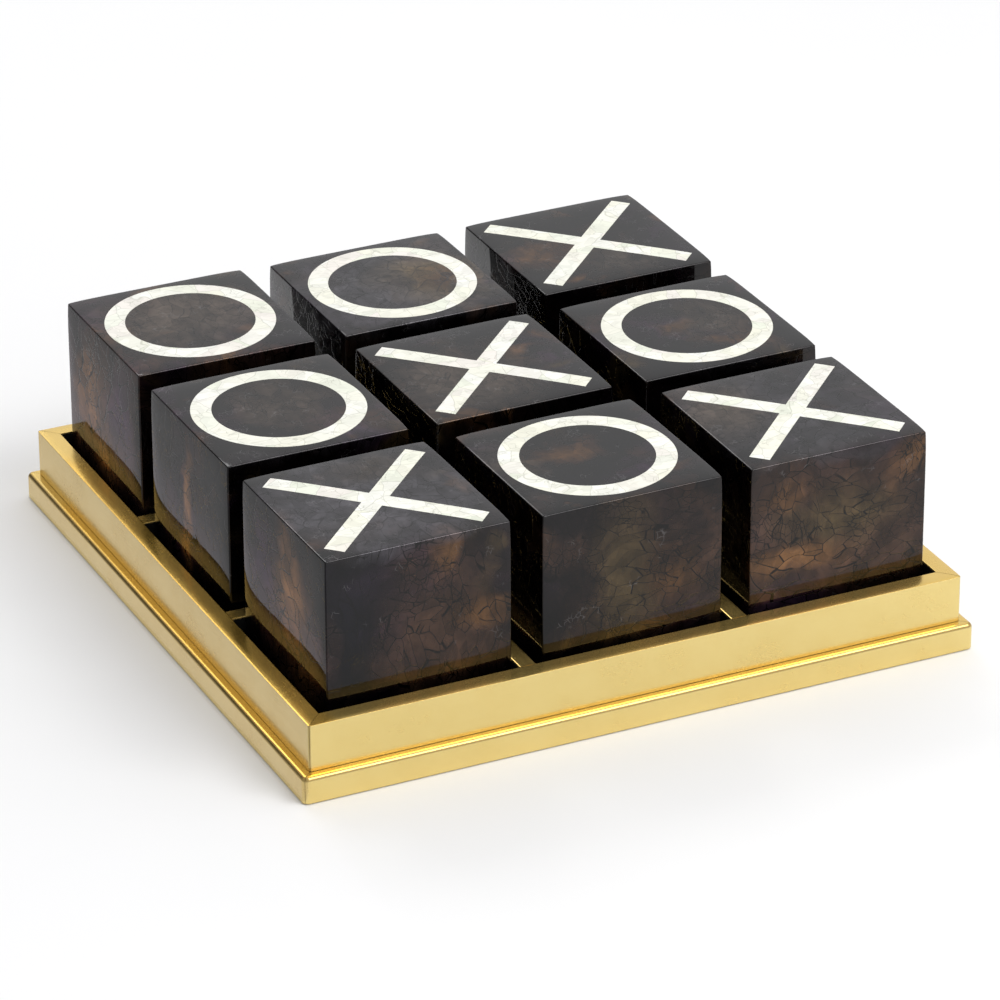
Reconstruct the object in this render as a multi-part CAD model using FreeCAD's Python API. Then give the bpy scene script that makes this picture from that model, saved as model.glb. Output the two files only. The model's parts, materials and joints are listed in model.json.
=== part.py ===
import FreeCAD, Part
import os

# A tic tac toe set: a square tray with nine cells, and a block standing in each cell.
# The tray is board clad in brass sheet: a low plinth, a rim set in from it, and dividers
# capped in brass. Each block is a wooden cube veneered in shell, with a nought or a cross
# let into its top.
# Millimetres. The origin is the centre of the tray's underside, +X to the right along the
# front edge, +Y to the back and +Z up.

Vector = FreeCAD.Vector
UP = Vector(0, 0, 1)
ORIGIN = Vector(0, 0, 0)

# Driving dimensions of the tray
TRAY_WIDTH = 305.0        # over the plinth, 12 in
CELL_WIDTH = 88.5
DIVIDER_WIDTH = 7.5
RIM_WIDTH = 7.8           # seen from above
RIM_TOP = 33.3
BASE_FELT = 1.2           # thickness of the felt that the tray stands on
BASE_FELT_MARGIN = 4.0    # between the felt's edge and the board's
BASE_BOARD = 10.0
FLOOR_BOARD = 3.0
CELL_FELT = 1.0
PLINTH_SHEET = 1.0
RIM_SHEET = 0.8
PLINTH_LIFT = 0.4         # the brass stops short of the table
SEAM = 0.2                # open joint between two pieces of brass
EASE = 0.1                # clearance all round a piece let into another
FELT_EASE = 0.2           # clearance all round a cell's felt pad

# Rounded edges of the tray
PLINTH_CORNER = 2.5       # vertical corners
PLINTH_ROUND = 2.2        # upper outer edge
RIM_CORNER = 1.0
RIM_ROUND = 0.4
CAP_ROUND = 0.5
FELT_CORNER = 3.0

# Screws that hold the rim down, up through the base board
SCREW_RADIUS = 1.5
SCREW_HEAD_RADIUS = 3.0
SCREW_LENGTH = 24.0
SCREW_SINK = 0.3          # the head lies this far below the board's underside
SCREW_HOLE_RADIUS = 1.7   # in the board and the plinth's flange
SCREW_PILOT_RADIUS = 1.55  # in the rail
SCREW_PILOT_SPARE = 1.0   # the hole in the rail goes on this far past the screw's end
SCREW_SLOT_WIDTH = 0.8
SCREW_SLOT_LENGTH = 4.0
SCREW_SLOT_DEPTH = 1.0
SCREW_PLACES = (-70.0, 70.0)  # along each side

# Driving dimensions of a block
BLOCK = 82.5              # a cube, 3 1/4 in
SHELL_VENEER = 1.5
BLOCK_ROUND = 1.0
MARK_BAND = 8.8           # width of both marks' strokes
MARK_DEPTH = 1.0
CROSS_LENGTH = 94.0       # each stroke, end to end
NOUGHT_RADIUS = 36.8

# Worked out from those
PITCH = CELL_WIDTH + DIVIDER_WIDTH
OPENING = 3 * CELL_WIDTH + 2 * DIVIDER_WIDTH
RIM_OUTER = OPENING + 2 * RIM_WIDTH
RAIL_OUTER = RIM_OUTER - 2 * RIM_SHEET
RAIL_TOP = RIM_TOP - RIM_SHEET
BASE_WIDTH = TRAY_WIDTH - 2 * PLINTH_SHEET
BASE_TOP = BASE_FELT + BASE_BOARD
PLINTH_TOP = BASE_TOP + PLINTH_SHEET
FLOOR_TOP = BASE_TOP + FLOOR_BOARD
BLOCK_BOTTOM = FLOOR_TOP + CELL_FELT
DIVIDER_MIDDLE = (FLOOR_TOP + RAIL_TOP) / 2
SCREW_LINE = (OPENING + RAIL_OUTER) / 4  # from the tray's centre to the screws' row
BASE_FELT_WIDTH = BASE_WIDTH - 2 * BASE_FELT_MARGIN
CELL_FELT_WIDTH = CELL_WIDTH - 2 * FELT_EASE

# Edges are told apart by these
UPRIGHT_SHARE = 0.9       # an upright edge is longer than this share of its piece's height
TOUCHING = 0.01           # closer than this counts as touching

SIDES = ("front", "right", "back", "left")
ROWS = ("front", "mid", "back")
COLUMNS = ("left", "centre", "right")

# How the game stands: each block's mark, how far it has been set off its cell's centre
# to the right and to the back, and how many degrees it is turned
GAME = {
    ("front", "left"): ("cross", 2.0, 1.5, 0.5),
    ("front", "centre"): ("nought", 0.5, 0.5, 0.75),
    ("front", "right"): ("cross", -0.5, 1.0, 0.25),
    ("mid", "left"): ("nought", 0.5, 0.0, 0.25),
    ("mid", "centre"): ("cross", -2.0, -0.5, 0.5),
    ("mid", "right"): ("nought", -2.0, -1.5, 0.5),
    ("back", "left"): ("nought", 0.5, -0.5, 0.0),
    ("back", "centre"): ("nought", -1.0, -2.0, 0.25),
    ("back", "right"): ("cross", -2.0, -1.0, 0.25),
}


def save(node, shape):
    """Write one sub-part."""
    if not shape.isValid():
        raise ValueError(node + " is not a valid shape")
    shape.exportStep("parts/" + node + ".step")


def slab(width, bottom, top, depth=None, x=0.0, y=0.0):
    """A flat board, square unless depth is given, centred on x, y."""
    depth = depth or width
    corner = Vector(x - width / 2, y - depth / 2, bottom)
    return Part.makeBox(width, depth, top - bottom, corner)


def post(radius, bottom, top, x=0.0, y=0.0):
    """An upright cylinder."""
    return Part.makeCylinder(radius, top - bottom, Vector(x, y, bottom), UP)


def upright_edges(shape):
    box = shape.BoundBox
    shortest = UPRIGHT_SHARE * box.ZLength
    return [edge for edge in shape.Edges if edge.BoundBox.ZLength > shortest]


def top_edges(shape):
    box = shape.BoundBox
    return [edge for edge in shape.Edges if edge.BoundBox.ZMin > box.ZMax - TOUCHING]


def eased(board, corner, top_round):
    """Round a board's upright corners, and then its upper edge."""
    board = board.makeFillet(corner, upright_edges(board))
    return board.makeFillet(top_round, top_edges(board))


def turned(shape, degrees):
    copy = shape.copy()
    copy.rotate(ORIGIN, UP, degrees)
    return copy


def save_four_sides(name, ring):
    """Cut a square ring at its mitres, and write its four strips."""
    reach = TRAY_WIDTH
    start = -SEAM / 2 * 2 ** 0.5
    outline = [
        Vector(0, start, 0),
        Vector(-reach, start - reach, 0),
        Vector(reach, start - reach, 0),
    ]
    wedge = Part.Face(Part.makePolygon(outline, True)).extrude(UP * 2 * RIM_TOP)
    front = ring.common(wedge)
    for quarter, side in enumerate(SIDES):
        save(name + "_" + side, turned(front, 90 * quarter))


def screw_row(make):
    """One solid for each screw place, on all four sides."""
    front = [make(place, -SCREW_LINE) for place in SCREW_PLACES]
    return [turned(solid, 90 * quarter) for quarter in range(4) for solid in front]


def countersink(x, y, ease):
    """The cone under a screw's head, with some ease round it."""
    head_radius = SCREW_HEAD_RADIUS + ease
    neck_radius = SCREW_RADIUS + ease
    bottom = BASE_FELT + SCREW_SINK
    return Part.makeCone(
        head_radius, neck_radius, head_radius - neck_radius, Vector(x, y, bottom), UP
    )


def make_screw(x, y):
    bottom = BASE_FELT + SCREW_SINK
    screw = countersink(x, y, 0).fuse(post(SCREW_RADIUS, bottom, bottom + SCREW_LENGTH, x, y))
    slot_top = bottom + SCREW_SLOT_DEPTH
    slot = slab(SCREW_SLOT_LENGTH, bottom, slot_top, SCREW_SLOT_WIDTH, x, y)
    cross_slot = slab(SCREW_SLOT_WIDTH, bottom, slot_top, SCREW_SLOT_LENGTH, x, y)
    return screw.removeSplitter().cut([slot, cross_slot])


def make_screw_way(x, y):
    """The hole for a screw through the board and the plinth's flange."""
    mouth = post(SCREW_HEAD_RADIUS + EASE, 0, BASE_FELT + SCREW_SINK, x, y)
    shaft = post(SCREW_HOLE_RADIUS, 0, PLINTH_TOP, x, y)
    return mouth.fuse([countersink(x, y, EASE), shaft])


def make_pilot(x, y):
    top = BASE_FELT + SCREW_SINK + SCREW_LENGTH + SCREW_PILOT_SPARE
    return post(SCREW_PILOT_RADIUS, PLINTH_TOP, top, x, y)


def base_blank(bottom):
    """The base board before it is drilled, rounded to lie inside the plinth's brass."""
    blank = slab(BASE_WIDTH, bottom, BASE_TOP)
    return eased(blank, PLINTH_CORNER - PLINTH_SHEET, PLINTH_ROUND - PLINTH_SHEET)


def make_base():
    felt = slab(BASE_FELT_WIDTH, 0, BASE_FELT)
    save("base_felt", felt.makeFillet(FELT_CORNER, upright_edges(felt)))
    save("base_board", base_blank(BASE_FELT).cut(screw_row(make_screw_way)))
    save("floor_board", slab(OPENING - 2 * EASE, BASE_TOP, FLOOR_TOP))
    save("rim_screws", Part.makeCompound(screw_row(make_screw)))


def make_plinth():
    """Brass sheet down the base board's edge, with a flange over the board."""
    outside = eased(slab(TRAY_WIDTH, PLINTH_LIFT, PLINTH_TOP), PLINTH_CORNER, PLINTH_ROUND)
    inside = [base_blank(0), slab(OPENING, 0, PLINTH_TOP)]
    ring = outside.cut(inside + screw_row(make_screw_way))
    save_four_sides("plinth", ring)


def make_rim():
    """A rail of board on each side, with brass sheet over its outside and its top."""
    opening = slab(OPENING, 0, RIM_TOP)
    rail = slab(RAIL_OUTER, PLINTH_TOP, RAIL_TOP)
    save_four_sides("rail", rail.cut([opening] + screw_row(make_pilot)))
    outside = eased(slab(RIM_OUTER, PLINTH_TOP + SEAM, RIM_TOP), RIM_CORNER, RIM_ROUND)
    save_four_sides("rim", outside.cut([slab(RAIL_OUTER, 0, RAIL_TOP), opening]))


def halving(x, y, bottom, top):
    """The notch that lets one divider pass through another."""
    return slab(DIVIDER_WIDTH + 2 * EASE, bottom, top, x=x, y=y)


def make_dividers():
    """Two bars each way, halved together where they cross."""
    for name, place in (("left", -PITCH / 2), ("right", PITCH / 2)):
        bar = slab(DIVIDER_WIDTH, FLOOR_TOP, RAIL_TOP, OPENING, place, 0)
        notches = [halving(place, y, FLOOR_TOP, DIVIDER_MIDDLE) for y in (-PITCH / 2, PITCH / 2)]
        save("divider_" + name, bar.cut(notches))
    for name, place in (("front", -PITCH / 2), ("rear", PITCH / 2)):
        bar = slab(OPENING, FLOOR_TOP, RAIL_TOP, DIVIDER_WIDTH, 0, place)
        notches = [halving(x, place, DIVIDER_MIDDLE, RAIL_TOP) for x in (-PITCH / 2, PITCH / 2)]
        save("divider_" + name, bar.cut(notches))


def cap_strip(length, along_x, x, y):
    """A brass strip with its two long upper edges rounded."""
    width, depth = (length, DIVIDER_WIDTH) if along_x else (DIVIDER_WIDTH, length)
    strip = slab(width, RAIL_TOP, RIM_TOP, depth, x, y)
    long_edges = [edge for edge in top_edges(strip) if edge.Length > length - TOUCHING]
    return strip.makeFillet(CAP_ROUND, long_edges)


def make_caps():
    """Whole strips from front to back, and three short ones across between them."""
    for name, place in (("left", -PITCH / 2), ("right", PITCH / 2)):
        save("cap_" + name, cap_strip(OPENING - 2 * SEAM, False, place, 0))
    for name, place in (("front", -PITCH / 2), ("rear", PITCH / 2)):
        strips = [
            cap_strip(CELL_WIDTH - 2 * SEAM, True, column * PITCH, place)
            for column in (-1, 0, 1)
        ]
        save("cap_" + name, Part.makeCompound(strips))


def make_cell_felts():
    pads = [
        slab(CELL_FELT_WIDTH, FLOOR_TOP, BLOCK_BOTTOM, x=column * PITCH, y=row * PITCH)
        for row in (-1, 0, 1)
        for column in (-1, 0, 1)
    ]
    save("cell_felts", Part.makeCompound(pads))


def make_cross(ease):
    """Two strokes from corner to corner of a block's top, the block's underside at z = 0."""
    bottom = BLOCK - MARK_DEPTH - ease
    stroke = slab(CROSS_LENGTH + 2 * ease, bottom, BLOCK, MARK_BAND + 2 * ease)
    return turned(stroke, 45).fuse(turned(stroke, -45)).removeSplitter()


def make_nought(ease):
    """A flat ring on a block's top, the block's underside at z = 0."""
    bottom = BLOCK - MARK_DEPTH - ease
    disc = post(NOUGHT_RADIUS + ease, bottom, BLOCK)
    return disc.cut(post(NOUGHT_RADIUS - MARK_BAND - ease, bottom, BLOCK))


MARKS = {"cross": make_cross, "nought": make_nought}


def make_block(place, mark, right, back, degrees):
    """The core, the shell veneer round it, and the mark let into the veneer."""
    row, column = place
    core = slab(BLOCK - 2 * SHELL_VENEER, SHELL_VENEER, BLOCK - SHELL_VENEER)
    outside = slab(BLOCK, 0, BLOCK)
    outside = outside.makeFillet(BLOCK_ROUND, outside.Edges)
    veneer = outside.cut(core).cut(MARKS[mark](EASE))
    x = (COLUMNS.index(column) - 1) * PITCH + right
    y = (ROWS.index(row) - 1) * PITCH + back
    pieces = {"core": core, "veneer": veneer, mark: MARKS[mark](0)}
    for name, piece in pieces.items():
        stood = turned(piece, degrees)
        stood.translate(Vector(x, y, BLOCK_BOTTOM))
        save(name + "_" + row + "_" + column, stood)


os.makedirs("parts", exist_ok=True)
make_base()
make_plinth()
make_rim()
make_dividers()
make_caps()
make_cell_felts()
for cell, setting in GAME.items():
    make_block(cell, *setting)
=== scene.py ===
import json
import math

import bmesh
import bpy
import numpy as np
from mathutils import Matrix, Vector, noise

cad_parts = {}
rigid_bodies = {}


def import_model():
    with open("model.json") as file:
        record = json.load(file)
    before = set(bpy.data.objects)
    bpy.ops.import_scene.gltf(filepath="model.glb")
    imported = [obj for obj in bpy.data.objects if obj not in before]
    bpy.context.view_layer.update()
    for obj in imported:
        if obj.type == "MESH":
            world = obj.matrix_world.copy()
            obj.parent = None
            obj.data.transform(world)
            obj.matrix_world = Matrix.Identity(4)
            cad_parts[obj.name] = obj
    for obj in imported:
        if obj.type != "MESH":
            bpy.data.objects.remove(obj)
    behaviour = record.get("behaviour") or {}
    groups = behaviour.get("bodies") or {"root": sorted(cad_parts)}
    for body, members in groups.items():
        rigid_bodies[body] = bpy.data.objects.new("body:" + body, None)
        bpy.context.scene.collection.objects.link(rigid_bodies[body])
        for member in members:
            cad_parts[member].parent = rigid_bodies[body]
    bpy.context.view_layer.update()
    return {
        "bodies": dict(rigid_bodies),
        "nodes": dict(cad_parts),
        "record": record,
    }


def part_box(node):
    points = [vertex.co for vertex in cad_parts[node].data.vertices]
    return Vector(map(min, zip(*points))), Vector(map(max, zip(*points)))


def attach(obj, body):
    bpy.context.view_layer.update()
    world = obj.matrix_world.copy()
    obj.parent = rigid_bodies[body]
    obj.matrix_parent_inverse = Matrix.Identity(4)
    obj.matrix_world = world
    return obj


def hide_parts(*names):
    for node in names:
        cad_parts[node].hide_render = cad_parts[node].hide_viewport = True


# A tic tac toe set of lacquered shell blocks in a brass tray, dressed around its CAD frame.
# Everything is in metres, in the frame of the CAD model.

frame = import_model()

MM = 0.001
SHARP_ANGLE = math.radians(40)   # a steeper edge than this between two faces stays sharp
CRACK_CORE = 0.3                 # share of a crack's width that is fully dark
SIDES = ("front", "right", "back", "left")
BLOCKS = [name[len("block_"):] for name in frame["bodies"] if name.startswith("block_")]
NODE_NAMES = sorted(frame["nodes"])


# ---------------------------------------------------------------- shader helpers

def new_material(name):
    material = bpy.data.materials.new(name)
    material.use_nodes = True
    material.node_tree.nodes.clear()
    return material, material.node_tree


def node(tree, kind, inputs=None, **settings):
    """Add a node; an input is a value or another node's output socket."""
    made = tree.nodes.new("ShaderNode" + kind)
    for key, value in settings.items():
        setattr(made, key, value)
    for key, value in (inputs or {}).items():
        if isinstance(value, bpy.types.NodeSocket):
            tree.links.new(value, made.inputs[key])
        else:
            made.inputs[key].default_value = value
    return made


def millimetres(tree, stretch=(1, 1, 1)):
    """The place on the object in millimetres, squeezed along chosen axes."""
    place = node(tree, "TexCoord").outputs["Object"]
    scale = [factor / MM for factor in stretch]
    return node(tree, "Mapping", {"Vector": place, "Scale": scale}).outputs["Vector"]


def squeezed(tree, place, scale, turn=(0, 0, 0)):
    """The place squeezed along each axis by scale, and turned."""
    inputs = {"Vector": place, "Scale": scale, "Rotation": turn}
    return node(tree, "Mapping", inputs).outputs["Vector"]


def cloud(tree, place, size, detail=2.0, roughness=0.5, distortion=0.0):
    """Noise whose features are about size millimetres across."""
    return node(tree, "TexNoise", {
        "Vector": place,
        "Scale": 1 / size,
        "Detail": detail,
        "Roughness": roughness,
        "Distortion": distortion,
    })


def ramp(tree, value, low, high, to_low=0.0, to_high=1.0):
    """Map low..high to to_low..to_high, eased at both ends and clamped."""
    return node(tree, "MapRange", {
        "Value": value,
        "From Min": low,
        "From Max": high,
        "To Min": to_low,
        "To Max": to_high,
    }, interpolation_type="SMOOTHSTEP").outputs["Result"]


def math_node(tree, operation, first, second):
    made = node(tree, "Math", {0: first, 1: second}, operation=operation)
    return made.outputs["Value"]


def times(tree, first, second):
    return math_node(tree, "MULTIPLY", first, second)


def mixed(tree, factor, first, second):
    """Mix two colours; each is a socket or an (r, g, b)."""
    made = node(tree, "Mix", data_type="RGBA")
    for key, value in (("Factor", factor), ("A", first), ("B", second)):
        kind = "VALUE" if key == "Factor" else "RGBA"
        socket = next(s for s in made.inputs if s.name == key and s.type == kind)
        if isinstance(value, bpy.types.NodeSocket):
            tree.links.new(value, socket)
        elif key == "Factor":
            socket.default_value = value
        else:
            socket.default_value = (*value, 1)
    return next(s for s in made.outputs if s.type == "RGBA")


def warped(tree, place, size, amount):
    """The place pushed about by noise, by up to amount millimetres each way."""
    push = cloud(tree, place, size).outputs["Color"]
    centred = node(tree, "VectorMath", {0: push, 1: (0.5, 0.5, 0.5)}, operation="SUBTRACT")
    scaled = node(
        tree, "VectorMath", {0: centred.outputs[0], "Scale": 2 * amount}, operation="SCALE"
    )
    moved = node(tree, "VectorMath", {0: place, 1: scaled.outputs[0]}, operation="ADD")
    return moved.outputs[0]


def cracks(tree, place, size, width):
    """1 on the lines between shards about size millimetres across, and each shard's colour."""
    lines = node(
        tree, "TexVoronoi", {"Vector": place, "Scale": 1 / size}, feature="DISTANCE_TO_EDGE"
    )
    shards = node(tree, "TexVoronoi", {"Vector": place, "Scale": 1 / size}, feature="F1")
    near, far = CRACK_CORE * width / size, width / size
    line = ramp(tree, lines.outputs["Distance"], near, far, 1.0, 0.0)
    return line, shards.outputs["Color"]


def normal_part(tree, axis):
    """How far the surface's normal points along X, Y or Z, from -1 to 1."""
    normal = node(tree, "NewGeometry").outputs["Normal"]
    return node(tree, "SeparateXYZ", {"Vector": normal}).outputs[axis]


def channel(tree, colour, name):
    return node(tree, "SeparateColor", {"Color": colour}).outputs[name]


def finish_material(tree, colour, roughness, normal=None, **fixed):
    """The principled shader; what is the same all over goes on its own sockets."""
    inputs = {"Base Color": colour, "Roughness": roughness}
    if normal is not None:
        inputs["Normal"] = normal
    inputs.update({key.replace("_", " "): value for key, value in fixed.items()})
    shader = node(tree, "BsdfPrincipled", inputs)
    node(tree, "OutputMaterial", {"Surface": shader.outputs["BSDF"]})


def bump(tree, height, distance):
    """A normal from a height of 0 to 1, distance metres high."""
    made = node(tree, "Bump", {"Height": height, "Distance": distance, "Strength": 1.0})
    return made.outputs["Normal"]


# ---------------------------------------------------------------- materials

AMBER = (0.150, 0.071, 0.026)
BROWN = (0.037, 0.019, 0.012)
OLIVE = (0.058, 0.039, 0.017)
VIOLET = (0.026, 0.014, 0.027)
SLATE = (0.062, 0.058, 0.066)
NIGHT = (0.002, 0.002, 0.004)
UMBER = (0.036, 0.027, 0.021)

# Where the blocks' shell is most coloured: the block, the place on it as shares of its half
# width (right, back, up), the cloud's reach in millimetres each way, its colour and strength.
SHELL_CLOUDS = (
    ("front_left", (-0.75, -1.0, 0.00), (26, 9, 60), NIGHT, 1.0),
    ("front_left", (0.25, -1.0, 0.00), (26, 9, 46), BROWN, 1.1),
    ("front_left", (0.34, -1.0, 0.75), (8, 8, 13), AMBER, 0.5),
    ("front_left", (0.68, -1.0, 0.12), (15, 8, 7), AMBER, 0.5),
    ("front_left", (-1.0, -0.10, 0.00), (8, 34, 42), BROWN, 2.4),
    ("front_left", (-1.0, 0.45, 0.30), (8, 14, 28), VIOLET, 2.0),
    ("front_left", (-1.0, -0.20, 0.25), (8, 13, 24), AMBER, 1.9),
    ("front_left", (-1.0, -0.45, -0.60), (8, 14, 14), AMBER, 1.2),
    ("front_left", (0.0, 0.0, 1.00), (60, 60, 6), SLATE, 0.9),
    ("front_left", (0.20, 0.60, 1.00), (22, 12, 6), UMBER, 1.0),
    ("front_centre", (0.10, -1.0, 0.00), (32, 9, 40), BROWN, 0.8),
    ("front_centre", (-0.10, -1.0, 0.10), (15, 9, 44), OLIVE, 0.8),
    ("front_centre", (0.42, -1.0, 0.05), (15, 8, 12), AMBER, 0.4),
    ("front_centre", (-0.80, 0.10, 1.00), (12, 22, 6), UMBER, 1.2),
    ("front_centre", (-0.20, 0.15, 1.00), (18, 10, 6), AMBER, 0.5),
    ("front_right", (-0.10, -1.0, 0.00), (60, 9, 50), BROWN, 1.3),
    ("front_right", (0.00, -1.0, 0.30), (30, 9, 16), OLIVE, 1.1),
    ("front_right", (-0.55, -1.0, -0.65), (28, 8, 15), VIOLET, 1.7),
    ("front_right", (-0.50, -1.0, -0.08), (26, 8, 6), AMBER, 0.9),
    ("front_right", (-0.55, -1.0, 0.60), (15, 8, 8), AMBER, 0.5),
    ("front_right", (0.85, -1.0, 0.75), (13, 8, 9), AMBER, 0.5),
    ("front_right", (0.0, 0.0, 1.00), (60, 60, 6), SLATE, 0.6),
    ("front_right", (-0.60, 0.30, 1.00), (20, 28, 6), UMBER, 2.4),
    ("mid_left", (-1.0, 0.00, -0.10), (8, 30, 46), BROWN, 1.0),
    ("mid_left", (-1.0, 0.15, 0.00), (8, 18, 34), VIOLET, 1.2),
    ("mid_left", (-1.0, 0.02, -0.10), (8, 5, 36), AMBER, 2.2),
    ("mid_left", (0.10, 0.10, 1.00), (24, 24, 6), UMBER, 1.4),
    ("mid_centre", (-0.30, -0.20, 1.00), (36, 32, 6), UMBER, 1.6),
    ("mid_right", (0.30, 0.10, 1.00), (22, 20, 6), UMBER, 1.5),
    ("mid_right", (-0.10, 0.05, 1.00), (9, 7, 6), AMBER, 0.5),
    ("back_left", (-1.0, 0.10, 0.00), (8, 44, 46), BROWN, 3.4),
    ("back_left", (-1.0, -0.50, 0.25), (8, 18, 24), VIOLET, 2.8),
    ("back_left", (-1.0, 0.45, 0.20), (8, 15, 20), AMBER, 1.8),
    ("back_left", (-1.0, -0.05, -0.40), (8, 14, 20), AMBER, 2.0),
    ("back_left", (0.00, 0.10, 1.00), (40, 36, 6), UMBER, 1.8),
    ("back_centre", (0.0, 0.0, 1.00), (60, 60, 6), SLATE, 0.8),
    ("back_centre", (0.50, -0.10, 1.00), (26, 26, 6), OLIVE, 2.0),
    ("back_centre", (0.55, -0.20, 1.00), (16, 14, 6), AMBER, 0.5),
    ("back_right", (-0.50, -0.10, 1.00), (20, 16, 6), AMBER, 0.6),
    ("back_right", (0.10, -0.50, 1.00), (20, 16, 6), UMBER, 1.4),
)


def shell_clouds(tree, place, colour):
    """Lay each listed cloud over the colour, with a soft edge."""
    for block, share, reach, tint, strength in SHELL_CLOUDS:
        low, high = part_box("veneer_" + block)
        centre = [
            ((low[k] + high[k]) / 2 + share[k] * (high[k] - low[k]) / 2) / MM for k in range(3)
        ]
        away = node(tree, "VectorMath", {0: place, 1: centre}, operation="SUBTRACT")
        scaled = node(
            tree, "VectorMath", {0: away.outputs[0], 1: [1 / r for r in reach]},
            operation="MULTIPLY",
        )
        far = node(tree, "VectorMath", {0: scaled.outputs[0]}, operation="LENGTH")
        amount = ramp(tree, far.outputs["Value"], 1.35, 0.15)
        colour = mixed(tree, amount, colour, [strength * part for part in tint])
    return colour


def make_dark_shell():
    """Crackled dark shell: amber, olive and violet clouds in near-black, under lacquer."""
    material, tree = new_material("dark_shell")
    place = millimetres(tree)
    bent = warped(tree, place, 34, 9)
    swirled = warped(tree, warped(tree, bent, 13, 6), 4, 1.4)

    # The crack network: long shards, upright in some places and lying in others.
    upright = squeezed(tree, bent, (1, 0.5, 0.45), (0.12, 0.15, 0))
    lying = squeezed(tree, bent, (0.42, 0.35, 1.05), (0, 0.2, 0.2))
    line_a, shard_a = cracks(tree, upright, 5.0, 0.16)
    line_b, shard_b = cracks(tree, lying, 4.3, 0.16)
    small = squeezed(tree, warped(tree, place, 24, 6), (1, 0.55, 0.8))
    fine_line, fine_shard = cracks(tree, small, 3.1, 0.15)
    rightward = times(tree, node(tree, "SeparateXYZ", {"Vector": place}).outputs["X"], 0.0012)
    grain = math_node(tree, "ADD", cloud(tree, place, 60, 0.0).outputs["Fac"], rightward)
    grain_way = ramp(tree, grain, 0.51, 0.53)
    line = node(tree, "Mix", {"Factor": grain_way, "A": line_a, "B": line_b}).outputs["Result"]
    shard = mixed(tree, grain_way, shard_a, shard_b)
    shattered = ramp(tree, cloud(tree, place, 20, 1.0).outputs["Fac"], 0.53, 0.59)
    shown = ramp(tree, cloud(tree, place, 12, 2.0).outputs["Fac"], 0.34, 0.50, 0.15, 1.0)
    line = math_node(
        tree, "MAXIMUM", times(tree, line, shown), times(tree, fine_line, shattered)
    )
    upward = ramp(tree, normal_part(tree, "Z"), 0.6, 0.95)
    line = times(tree, line, ramp(tree, upward, 0.0, 1.0, 1.0, 0.65))

    # The cracks stand wider open on the left and right faces.
    across = math_node(tree, "ABSOLUTE", normal_part(tree, "X"), 0.0)
    line = ramp(tree, times(tree, line, ramp(tree, across, 0.6, 0.95, 1.0, 1.5)), 0.0, 1.0)

    # Soft clouds of colour.
    colour = mixed(
        tree, cloud(tree, swirled, 24, 2.0).outputs["Fac"],
        (0.0010, 0.0008, 0.0016), (0.0075, 0.0048, 0.0050),
    )
    drifts = (
        (38, 0.0, 0.48, 0.74, VIOLET),
        (34, 71.0, 0.50, 0.74, BROWN),
        (30, 143.0, 0.58, 0.78, OLIVE),
        (28, 217.0, 0.60, 0.80, AMBER),
    )
    for size, shift, low, high, tint in drifts:
        moved = node(tree, "VectorMath", {0: swirled, 1: (shift, 0, shift)}, operation="ADD")
        amount = ramp(tree, cloud(tree, moved.outputs[0], size, 2.0).outputs["Fac"], low, high)
        colour = mixed(tree, amount, colour, tint)
    colour = shell_clouds(tree, swirled, colour)

    # Each shard and each streak in it takes the light a little differently.
    streaks = cloud(tree, squeezed(tree, swirled, (1, 1, 0.3)), 4.0, 4.0, 0.6)
    patches = cloud(tree, swirled, 15, 3.0, 0.5)
    glow = times(
        tree,
        ramp(tree, channel(tree, shard, "Red"), 0.0, 1.0, 0.78, 1.18),
        ramp(tree, channel(tree, fine_shard, "Green"), 0.0, 1.0, 0.88, 1.12),
    )
    glow = times(tree, glow, ramp(tree, streaks.outputs["Fac"], 0.25, 0.8, 0.8, 1.25))
    glow = times(tree, glow, ramp(tree, patches.outputs["Fac"], 0.3, 0.7, 0.6, 1.35))
    lit = node(tree, "VectorMath", {0: colour, "Scale": glow}, operation="SCALE").outputs[0]
    lit = mixed(tree, times(tree, line, 0.92), lit, (0.0004, 0.0003, 0.0003))

    # Pale flecks on the lines between small shards, in patches and a few more on the tops: light
    # scratches in the shell, and partly painted glints off the shards' edges.
    flecks_and_glints, _ = cracks(tree, warped(tree, place, 5, 2), 3.0, 0.16)
    spread = times(tree, upward, 0.05)
    spread = math_node(tree, "ADD", cloud(tree, place, 9, 2.0).outputs["Fac"], spread)
    where = ramp(tree, spread, 0.63, 0.71)
    lit = mixed(tree, times(tree, times(tree, flecks_and_glints, where), 0.20), lit, (0.30, 0.29, 0.30))

    # The lacquer is a little wavy, and sinks into the cracks.
    surface = math_node(
        tree, "SUBTRACT", cloud(tree, place, 16, 1.0).outputs["Fac"],
        times(tree, line, ramp(tree, upward, 0.0, 1.0, 0.7, 0.3)),
    )
    finish_material(
        tree, lit, ramp(tree, streaks.outputs["Fac"], 0.3, 0.7, 0.24, 0.36),
        Metallic=0.85, Specular_IOR_Level=0.05, Specular_Tint=(0.4, 0.4, 0.4, 1),
        Coat_Weight=1.0, Coat_IOR=1.38, Coat_Roughness=0.03,
        Coat_Normal=bump(tree, surface, 0.03 * MM),
    )
    return material


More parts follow.
